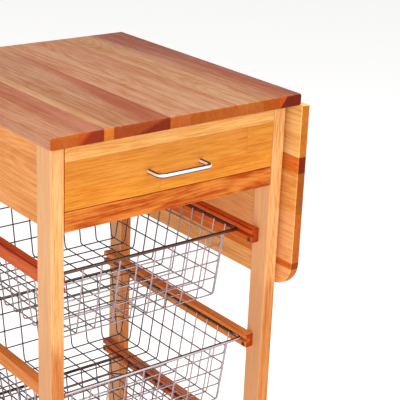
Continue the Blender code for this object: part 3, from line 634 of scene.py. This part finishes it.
LEVELS = ("top", "middle", "bottom")
SIDES = ("left", "right")
RUNNER_FACES = {"top": (208, 92, 32), "middle": (228, 140, 68), "bottom": (216, 116, 52)}
RUNNER_END = (170, 66, 24)
# Painted shade on each strip's top face under the tabletop, darkest on the top strips
RUNNER_TOP_SHADE = {"top": (147, 10, 8), "middle": (212, 104, 36), "bottom": (190, 70, 26)}
# How far down from its top a strip carries its painted shade
TOP_BAND = 0.003
RUNNER_SCREW = metal("runner_screw_steel", (120, 108, 104), 0.36, marks=0.6)
for level_number, level in enumerate(LEVELS):
    for side_number, side in enumerate(SIDES):
        node = f"runner_{level}_{side}"
        low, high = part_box(node)
        dress(node, timber(
            f"{node}_wood", low, high, "y", "z", [RUNNER_FACES[level]], [RUNNER_END],
            hearts_and_shade=((0, high.z - TOP_BAND, high.z - TOP_BAND / 2, TOP_BAND / 3, RUNNER_TOP_SHADE[level]),),
            ring_width=0.0024, figure=0.9, sheen=0.44, log=180.0 + 9.0 * level_number + 4.0 * side_number,
        ))
        dress(f"runner_screw_{level}_{side}", RUNNER_SCREW)

# A screw head from its recess outwards and down: distance from its axis and height, as shares of its radius
HEAD_PROFILE = (
    (0.0, 0.10), (0.34, 0.10), (0.42, 0.36), (0.62, 0.38),
    (0.86, 0.24), (1.0, 0.04), (1.0, -0.12), (0.0, -0.12),
)
BACK_SCREW_INSET, BACK_SCREW_DROP, BACK_SCREW_RADIUS = 0.008, 0.0211, 0.0036


def screw_head(shape, place, outward, radius):
    """A low domed head with a round drive recess, its base sunk a little into what it holds."""
    before = set(shape.verts)
    points = [shape.verts.new((across * radius, 0.0, height * radius)) for across, height in HEAD_PROFILE]
    edges = [shape.edges.new(pair) for pair in zip(points, points[1:])]
    bmesh.ops.spin(
        shape, geom=points + edges, cent=(0, 0, 0), axis=(0, 0, 1), dvec=(0, 0, 0),
        angle=2 * math.pi, steps=16, use_merge=True, use_duplicate=False,
    )
    turned = Vector(outward).to_track_quat("Z", "Y").to_matrix().to_4x4()
    corners = [corner for corner in shape.verts if corner not in before]
    bmesh.ops.transform(shape, matrix=Matrix.Translation(place) @ turned, verts=corners)


back_screws = bmesh.new()
for level in LEVELS:
    for side, inward in zip(SIDES, (1.0, -1.0)):
        low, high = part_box(f"runner_{level}_{side}")
        face_x = high.x if inward > 0 else low.x
        spot = (face_x, high.y - BACK_SCREW_INSET, high.z - BACK_SCREW_DROP)
        screw_head(back_screws, spot, (inward, 0, 0), BACK_SCREW_RADIUS)
finished("runner_back_screws", back_screws, RUNNER_SCREW, "frame")


# ---------------------------------------------------------------- wire baskets
# A thick rim rod carries a mesh of thin wires, spot-welded where they cross and chrome plated. Wires from
# front to back and from side to side hang from the rim as long cradles, and three rings lie inside them.

# The chrome's dark brown is painted reflection of the wood round it, with paler painted highlights along
# the rods' flanks: pale on the middle and bottom rims, dark on the top one
RIM_DARK_REFLECTION = (70, 42, 36)
RIM_PAINTED_HIGHLIGHTS = {"top": (90, 58, 52), "middle": (206, 190, 196), "bottom": (206, 190, 196)}
WIRE_DARK_REFLECTION, WIRE_PAINTED_HIGHLIGHT = (84, 56, 54), (206, 186, 194)
# From where to where behind a basket's front the pale painted highlight gives way to the dark painted
# reflection of the wood
RIM_FADE, WIRE_FADE = (0.006, 0.030), (0.02, 0.30)
# Half a wire's thickness, and how many of these a ring's middle lies inside the upright wires'
WIRE, RING_INSIDE = 0.0013, 1.9
RIM_BEND, FOOT_BEND, RING_BEND = 0.010, 0.007, 0.010
LONG_WIRES, LONG_WIRE_STEP = 10, 0.0361
CROSS_WIRES, CROSS_WIRE_STEP = 11, 0.0318
# How much further in than its top a basket's foot lies, and how far below the rim its rings lie
FOOT_LEAN_X, FOOT_LEAN_Y = 0.0204, 0.0222
RING_DROPS = (0.027, 0.061, 0.095)


def corners_cut(half_x, half_y, cut_x, cut_y):
    """The eight corners of a rectangle about the middle with its corners cut off."""
    x, y = half_x - cut_x, half_y - cut_y
    return [
        (x, half_y), (-x, half_y), (-half_x, y), (-half_x, -y),
        (-x, -half_y), (x, -half_y), (half_x, -y), (half_x, y),
    ]


for level in LEVELS:
    low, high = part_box(f"basket_rim_{level}")
    middle = (low + high) / 2
    rim_rod = (high.z - low.z) / 2
    half_x, half_y = (high.x - low.x) / 2 - rim_rod, (high.y - low.y) / 2 - rim_rod
    body = f"basket_{level}"

    rim = bmesh.new()
    square = ((half_x, half_y), (-half_x, half_y), (-half_x, -half_y), (half_x, -half_y))
    rim_corners = [(middle.x + x, middle.y + y, middle.z) for x, y in square]
    bent_rod(rim, rim_corners, rim_rod, RIM_BEND, closed=True, sides=14)
    rim_chrome = metal(
        f"rim_chrome_{level}", RIM_DARK_REFLECTION, 0.20, marks=0.8, lacquer=0.5, painted_highlight=RIM_PAINTED_HIGHLIGHTS[level],
        reflection_fade=(low.y + RIM_FADE[0], low.y + RIM_FADE[1]),
    )
    finished(f"rim_rod_{level}", rim, rim_chrome, body, [f"basket_rim_{level}"])

    # The cross wires lie lowest and the long wires on them
    wire_chrome = metal(
        f"wire_chrome_{level}", WIRE_DARK_REFLECTION, 0.20, marks=0.6, lacquer=0.5, painted_highlight=WIRE_PAINTED_HIGHLIGHT,
        reflection_fade=(low.y + WIRE_FADE[0], low.y + WIRE_FADE[1]),
    )
    wall_x, wall_y = half_x - rim_rod - WIRE, half_y - rim_rod - WIRE
    foot_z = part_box(f"basket_body_{level}")[0].z + WIRE
    long_foot_z = foot_z + 2 * WIRE
    mesh_wires = bmesh.new()
    for number in range(LONG_WIRES):
        x = middle.x + (number - (LONG_WIRES - 1) / 2) * LONG_WIRE_STEP
        foot_y = wall_y - FOOT_LEAN_Y
        hang = ((wall_y, middle.z), (foot_y, long_foot_z), (-foot_y, long_foot_z), (-wall_y, middle.z))
        bent_rod(mesh_wires, [(x, middle.y + y, z) for y, z in hang], WIRE, FOOT_BEND)
    for number in range(CROSS_WIRES):
        y = middle.y + (number - (CROSS_WIRES - 1) / 2) * CROSS_WIRE_STEP
        foot_x = wall_x - FOOT_LEAN_X
        hang = ((wall_x, middle.z), (foot_x, foot_z), (-foot_x, foot_z), (-wall_x, middle.z))
        bent_rod(mesh_wires, [(middle.x + x, y, z) for x, z in hang], WIRE, FOOT_BEND)
    finished(f"mesh_wires_{level}", mesh_wires, wire_chrome, body, [f"basket_body_{level}"])

    # The rings touch the upright wires from inside, and cut their corners from wire to wire
    rings = bmesh.new()
    last_x = (LONG_WIRES - 1) / 2 * LONG_WIRE_STEP
    last_y = (CROSS_WIRES - 1) / 2 * CROSS_WIRE_STEP
    for drop in RING_DROPS:
        share = drop / (middle.z - foot_z)
        ring_x = wall_x - share * FOOT_LEAN_X - RING_INSIDE * WIRE
        ring_y = wall_y - share * FOOT_LEAN_Y - RING_INSIDE * WIRE
        plan = corners_cut(ring_x, ring_y, ring_x - last_x, ring_y - last_y)
        ring = [(middle.x + x, middle.y + y, middle.z - drop) for x, y in plan]
        bent_rod(rings, ring, WIRE, RING_BEND, closed=True)
    finished(f"ring_wires_{level}", rings, wire_chrome, body)


# ---------------------------------------------------------------- hinges, stays and glides
# Two steel butt hinges carry the leaf, and two folding steel stays hold it up. Each leg stands on a round
# glide of pale nylon. These are plain bought parts, zinc plated or moulded.

ZINC = metal("zinc_plate", (188, 186, 176), 0.32, marks=0.5)
for end in ("front", "back"):
    for part in ("fixed_plate", "moving_plate", "pin"):
        dress(f"hinge_{end}_{part}", ZINC)
    for part in ("apron_bracket", "leaf_bracket", "lower_link", "upper_link"):
        dress(f"stay_{end}_{part}", ZINC)

HINGE_SCREW_STEPS, HINGE_SCREW_INSET, HINGE_SCREW_RADIUS = (-0.013, 0.0, 0.013), 0.009, 0.0026
BRACKET_SCREW_STEPS, BRACKET_SCREW_RADIUS = (-0.008, 0.008), 0.0028
# How far a hinge plate's flat face lies behind its knuckle, and how thick a stay's bracket is
KNUCKLE_REACH, BRACKET_METAL = 0.00195, 0.002
plate_screws, leaf_screws = bmesh.new(), bmesh.new()
for end in ("front", "back"):
    low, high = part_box(f"hinge_{end}_fixed_plate")
    flap_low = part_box(f"hinge_{end}_moving_plate")[0]
    middle = (low + high) / 2
    for step in HINGE_SCREW_STEPS:
        spot = (low.x + HINGE_SCREW_INSET, middle.y + step, low.z + KNUCKLE_REACH)
        screw_head(plate_screws, spot, (0, 0, -1), HINGE_SCREW_RADIUS)
        spot = (flap_low.x + KNUCKLE_REACH, middle.y + step, flap_low.z + HINGE_SCREW_INSET)
        screw_head(leaf_screws, spot, (-1, 0, 0), HINGE_SCREW_RADIUS)
    low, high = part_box(f"stay_{end}_apron_bracket")
    flap_low, flap_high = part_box(f"stay_{end}_leaf_bracket")
    middle, flap_middle = (low + high) / 2, (flap_low + flap_high) / 2
    for step in BRACKET_SCREW_STEPS:
        spot = (low.x + BRACKET_METAL, middle.y + step, middle.z - step)
        screw_head(plate_screws, spot, (1, 0, 0), BRACKET_SCREW_RADIUS)
        spot = (flap_high.x - BRACKET_METAL, flap_middle.y + step, flap_middle.z - step)
        screw_head(leaf_screws, spot, (-1, 0, 0), BRACKET_SCREW_RADIUS)
finished("plate_screws", plate_screws, ZINC, "frame")
finished("leaf_screws", leaf_screws, ZINC, "leaf")

GLIDE_NYLON, glide_shader, glide_place, _ = new_material("glide_nylon")
speckle = glide_place[0].noise(*[part * 900.0 for part in glide_place], detail=2.0)
glide_colour = speckle.mix(tone(206, 200, 186), tone(222, 217, 205))
glide_roughness = 0.45 + speckle * 0.2
finish_with(GLIDE_NYLON, glide_shader, glide_colour, glide_roughness, speckle, depth=0.0002, strength=0.1)
for corner in ("front_left", "front_right", "back_left", "back_right"):
    dress(f"glide_{corner}", GLIDE_NYLON)
